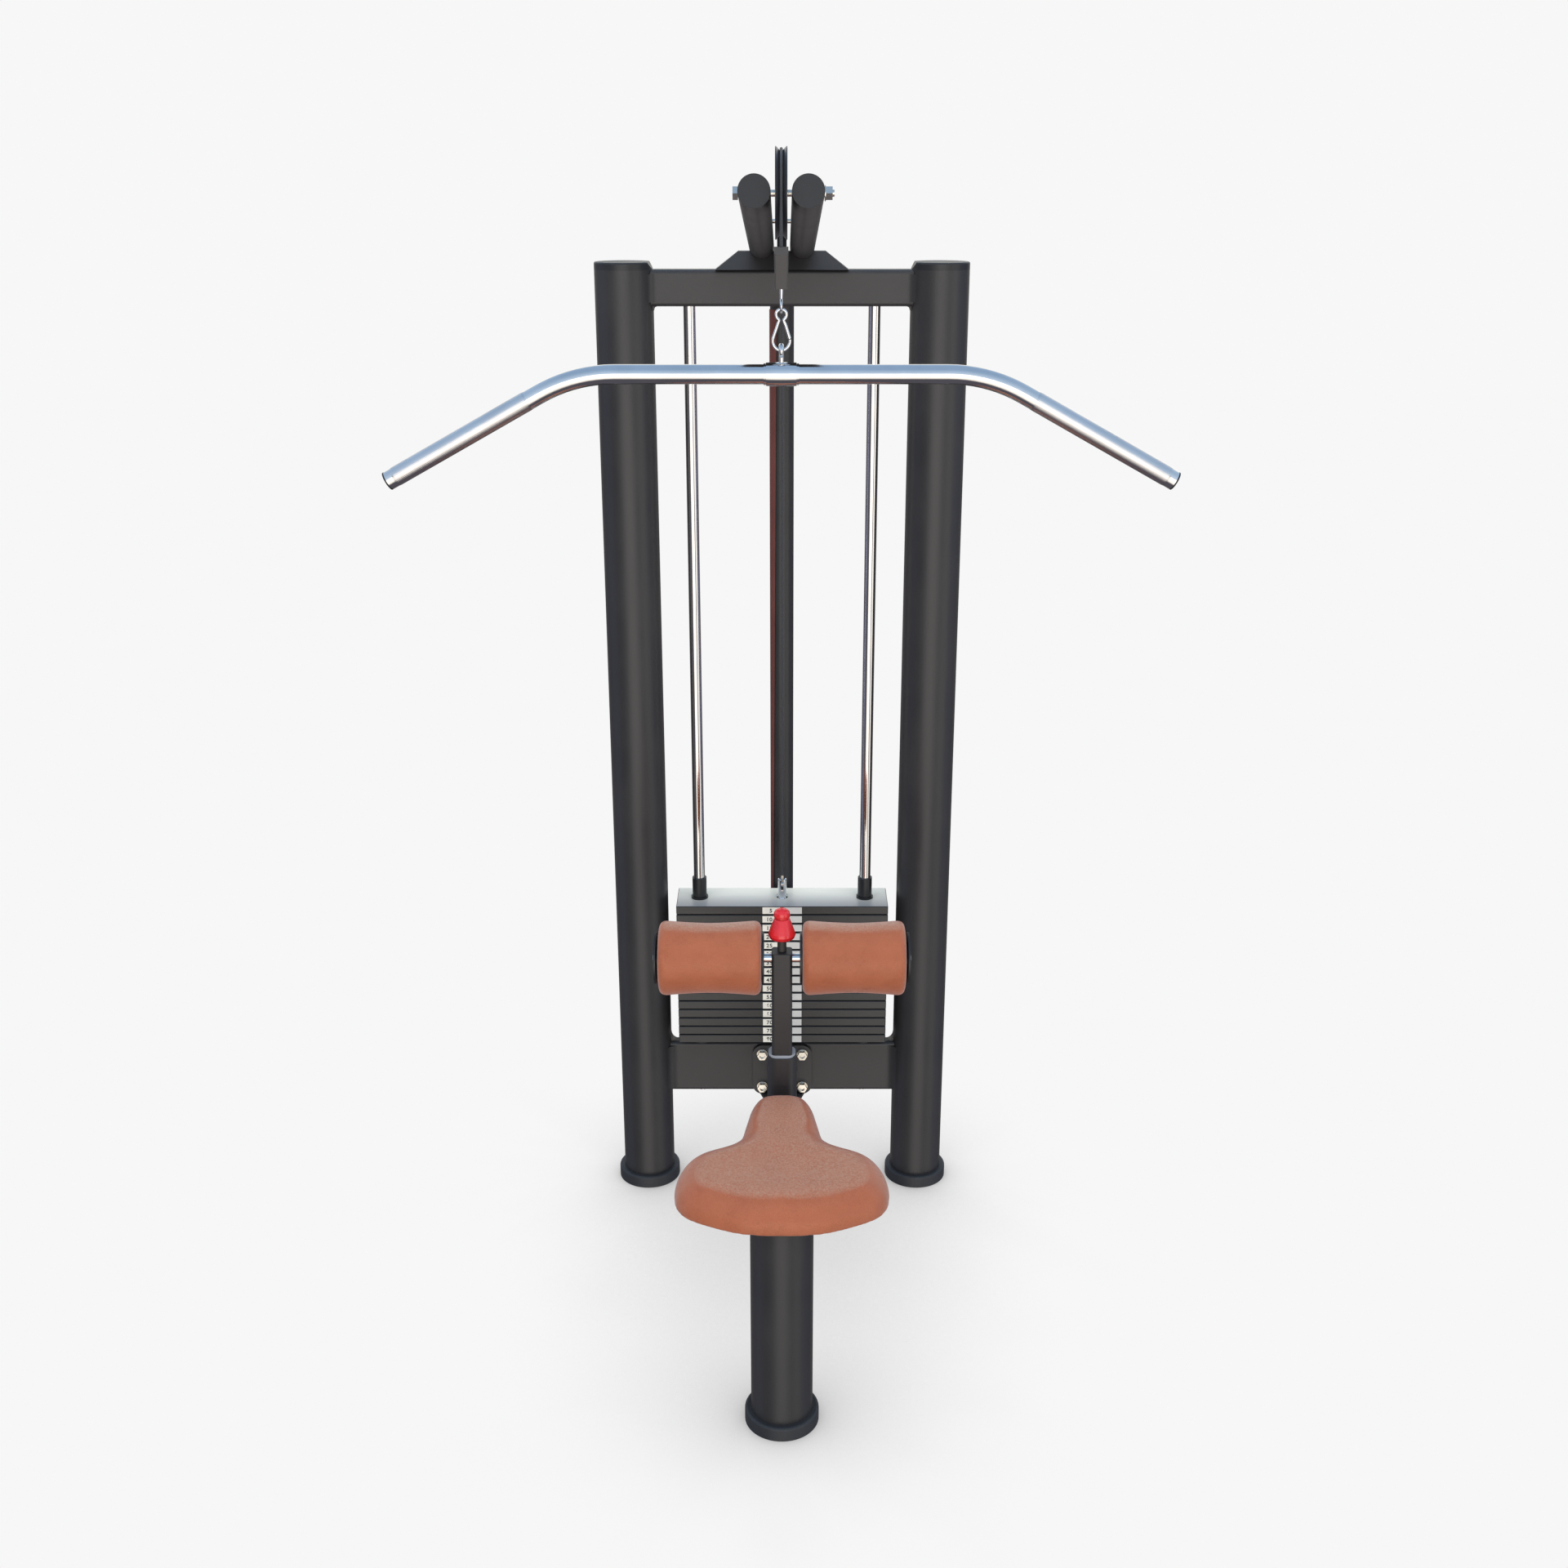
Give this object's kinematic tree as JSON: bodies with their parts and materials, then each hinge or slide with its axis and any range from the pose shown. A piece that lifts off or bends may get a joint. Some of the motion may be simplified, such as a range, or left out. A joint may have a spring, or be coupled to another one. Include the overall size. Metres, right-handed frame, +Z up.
{
  "type": "lat pulldown machine",
  "caption": "Lat pulldown gym machine: twin-tube frame, cable over two pulleys, weight stack on guide rods, angled bar on a carabiner, saddle seat and thigh rollers",
  "frame": {"origin": "on the floor, in the middle of the machine's footprint box", "axes": "+Z up; the user sits at -Y and faces +Y towards the weight stack; +X to the right of someone who stands at -Y and looks at the machine"},
  "size_m": [1.2044, 1.0161, 2.234],
  "materials": {
    "frame_paint": "dark charcoal powder coat, satin",
    "black_plastic": "black moulded plastic",
    "bright_chrome": "polished chrome plate",
    "knurled_chrome": "polished in the middle, fine knurl on the sloped ends",
    "zinc_steel": "zinc plated steel",
    "plate_paint": "dark grey paint, satin",
    "label_metal": "pale printed metal plate",
    "tan_leather": "brown upholstery leather",
    "red_plastic": "glossy red plastic",
    "black_rubber": "black rubber",
    "steel_cable": "steel cable in a dark coat",
    "nylon": "dark nylon",
    "grey_plastic": "light grey guide plastic",
    "plywood": "birch plywood",
    "brown_trim": "brown trim strip"
  },
  "bodies": {
    "frame": {"left_upright": "frame_paint", "right_upright": "frame_paint", "tube_end_caps": "black_plastic", "feet": "black_rubber", "top_beam": "frame_paint", "lower_beam": "frame_paint", "rear_post": "frame_paint", "rear_post_strip": "brown_trim", "guide_rods": "bright_chrome", "stack_bumpers": "black_rubber", "left_arm": "frame_paint", "right_arm": "frame_paint", "arm_saddle": "frame_paint", "rear_pulley_brackets": "frame_paint", "pulley_bearings": "zinc_steel", "pulley_axle_bolts": "zinc_steel", "pulley_axle_nuts": "zinc_steel", "cable_over_pulleys": "steel_cable", "cable_stack_run": "steel_cable", "cable_bar_run": "steel_cable", "lower_weight_plates": "plate_paint", "lower_plate_labels": "label_metal", "mount_flange": "frame_paint", "flange_bolts_and_nuts": "zinc_steel", "base_rail": "frame_paint", "roller_socket": "frame_paint", "socket_bushing": "grey_plastic", "front_post": "frame_paint", "seat_plate": "frame_paint", "seat_bolts": "zinc_steel", "seat_board": "plywood", "seat_pad": "tan_leather"},
    "lifted_stack": {"stack_top_plate": "plate_paint", "lifted_weight_plates": "plate_paint", "lifted_plate_labels": "label_metal", "selector_stem": "bright_chrome", "rod_collars": "black_plastic", "stem_clevis": "bright_chrome", "clevis_pin": "zinc_steel"},
    "selector": {"selector_pin": "zinc_steel", "selector_grip": "black_plastic"},
    "front_wheel": {"front_pulley": "nylon"},
    "rear_wheel": {"rear_pulley": "nylon"},
    "cable_end": {"cable_stop": "black_rubber"},
    "swivel_eye": {"cable_eye": "bright_chrome"},
    "carabiner": {"carabiner_hook": "bright_chrome"},
    "gate": {"carabiner_gate": "bright_chrome"},
    "hanger": {"bar_hanger": "bright_chrome"},
    "bar": {"lat_bar": "knurled_chrome", "bar_end_caps": "black_plastic", "bar_retaining_rings": "bright_chrome"},
    "roller_carriage": {"roller_post": "frame_paint", "roller_axles": "bright_chrome", "roller_axle_nuts": "zinc_steel"},
    "knob": {"release_knob": "red_plastic", "release_rod": "zinc_steel"},
    "left_roller": {"left_roller_pad": "tan_leather", "left_roller_spool": "black_plastic"},
    "right_roller": {"right_roller_pad": "tan_leather", "right_roller_spool": "black_plastic"}
  },
  "joints": [
    {"name": "stack_lift", "type": "slide", "parent": "frame", "child": "lifted_stack", "axis": [0, 0, 1], "range_m": [0, 0.75], "deforming": ["cable_stack_run"]},
    {"name": "selector_pull", "type": "slide", "parent": "lifted_stack", "child": "selector", "axis": [0, -1, 0], "range_m": [0, 0.08]},
    {"name": "front_pulley_spin", "type": "hinge", "parent": "frame", "child": "front_wheel", "pos_m": [0, -0.41607, 2.169], "axis": [1, 0, 0], "continuous": true},
    {"name": "rear_pulley_spin", "type": "hinge", "parent": "frame", "child": "rear_wheel", "pos_m": [0, 0.34293, 2.109], "axis": [1, 0, 0], "continuous": true},
    {"name": "bar_travel", "type": "slide", "parent": "frame", "child": "cable_end", "axis": [0, 0, 1], "range_m": [-0.75, 0], "deforming": ["cable_bar_run"]},
    {"name": "bar_swivel", "type": "hinge", "parent": "cable_end", "child": "swivel_eye", "pos_m": [0, -0.47707, 2.045], "axis": [0, 0, 1], "range_deg": [-45, 45]},
    {"name": "carabiner_swing", "type": "hinge", "parent": "swivel_eye", "child": "carabiner", "pos_m": [0, -0.47707, 2.0135], "axis": [1, 0, 0], "range_deg": [-20, 20]},
    {"name": "carabiner_gate_open", "type": "hinge", "parent": "carabiner", "child": "gate", "pos_m": [0.0056, -0.47707, 1.988], "axis": [0, 1, 0], "range_deg": [0, 25], "stiffness_Nm_per_rad": 0.02, "springref_deg": -17.19},
    {"name": "bar_tilt", "type": "hinge", "parent": "carabiner", "child": "hanger", "pos_m": [0, -0.47707, 1.9635], "axis": [0, 1, 0], "range_deg": [-12, 12]},
    {"name": "bar_roll", "type": "hinge", "parent": "hanger", "child": "bar", "pos_m": [0, -0.47707, 1.916], "axis": [1, 0, 0], "continuous": true},
    {"name": "roller_height", "type": "slide", "parent": "frame", "child": "roller_carriage", "axis": [0, 0, 1], "range_m": [-0.06, 0.1]},
    {"name": "release_pull", "type": "slide", "parent": "roller_carriage", "child": "knob", "axis": [0, 0, 1], "range_m": [0, 0.012], "stiffness_N_per_m": 700, "springref_m": -0.015},
    {"name": "left_roller_spin", "type": "hinge", "parent": "roller_carriage", "child": "left_roller", "pos_m": [-0.14, -0.04407, 0.76], "axis": [1, 0, 0], "continuous": true},
    {"name": "right_roller_spin", "type": "hinge", "parent": "roller_carriage", "child": "right_roller", "pos_m": [0.14, -0.04407, 0.76], "axis": [1, 0, 0], "continuous": true}
  ],
  "couplings": [
    {"joint": "bar_travel", "follows": "stack_lift", "ratio": -1},
    {"joint": "front_pulley_spin", "follows": "stack_lift", "rad_per_m": 16.393},
    {"joint": "rear_pulley_spin", "follows": "stack_lift", "rad_per_m": 16.393}
  ]
}
